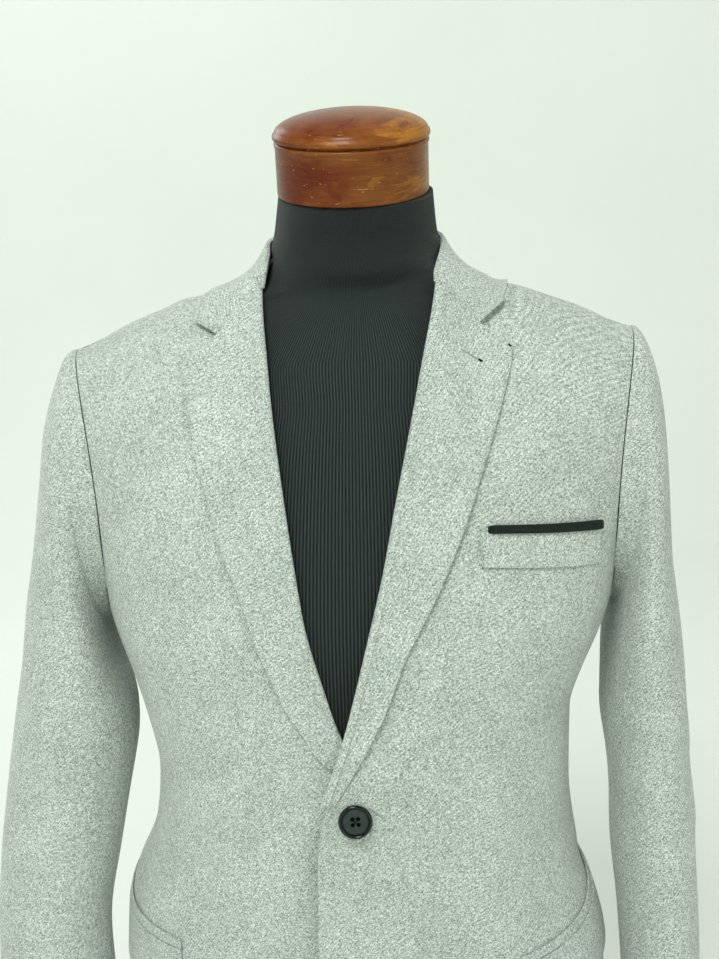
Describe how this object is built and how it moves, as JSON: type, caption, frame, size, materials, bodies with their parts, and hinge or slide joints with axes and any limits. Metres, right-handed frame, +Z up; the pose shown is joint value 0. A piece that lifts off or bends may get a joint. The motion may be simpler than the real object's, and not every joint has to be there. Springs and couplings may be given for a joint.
{
  "type": "wool blazer on a countertop dress form",
  "caption": "Men's single-breasted wool blazer with notched lapels, buttoned over a limbless knit-covered dress form on a round stand.",
  "frame": {"origin": "centre of the stand's flat underside, on the surface it stands on", "axes": "+Z up along the pole, -Y to the front where the blazer closes, +X to the wearer's left, which is the right of the picture"},
  "size_m": [0.5789, 0.2837, 0.9816],
  "materials": {
    "wool_twill": "pale sage melange wool twill, pressed, with a soft nap",
    "dark_satin": "green-black satin piping",
    "button_resin": "dark grey-green cast resin, polished",
    "rib_knit": "black-slate ribbed knit cover",
    "varnished_wood": "worn red-brown and golden varnish over turned wood",
    "stand_metal": "satin black paint over steel"
  },
  "bodies": {
    "root": {"front_right": "wool_twill", "front_left": "wool_twill", "back_right": "wool_twill", "back_left": "wool_twill", "side_right": "wool_twill", "side_left": "wool_twill", "lapel_right": "wool_twill", "lapel_left": "wool_twill", "collar": "wool_twill", "sleeve_right_top": "wool_twill", "sleeve_right_under": "wool_twill", "sleeve_left_top": "wool_twill", "sleeve_left_under": "wool_twill", "hip_jet_right": "wool_twill", "hip_flap_right": "wool_twill", "hip_jet_left": "wool_twill", "hip_flap_left": "wool_twill", "breast_welt": "wool_twill", "breast_piping": "dark_satin", "button_face": "button_resin", "button_rim": "button_resin", "form_torso": "rib_knit", "neck_cap": "varnished_wood", "base_plate": "stand_metal", "pole": "stand_metal"}
  },
  "joints": []
}
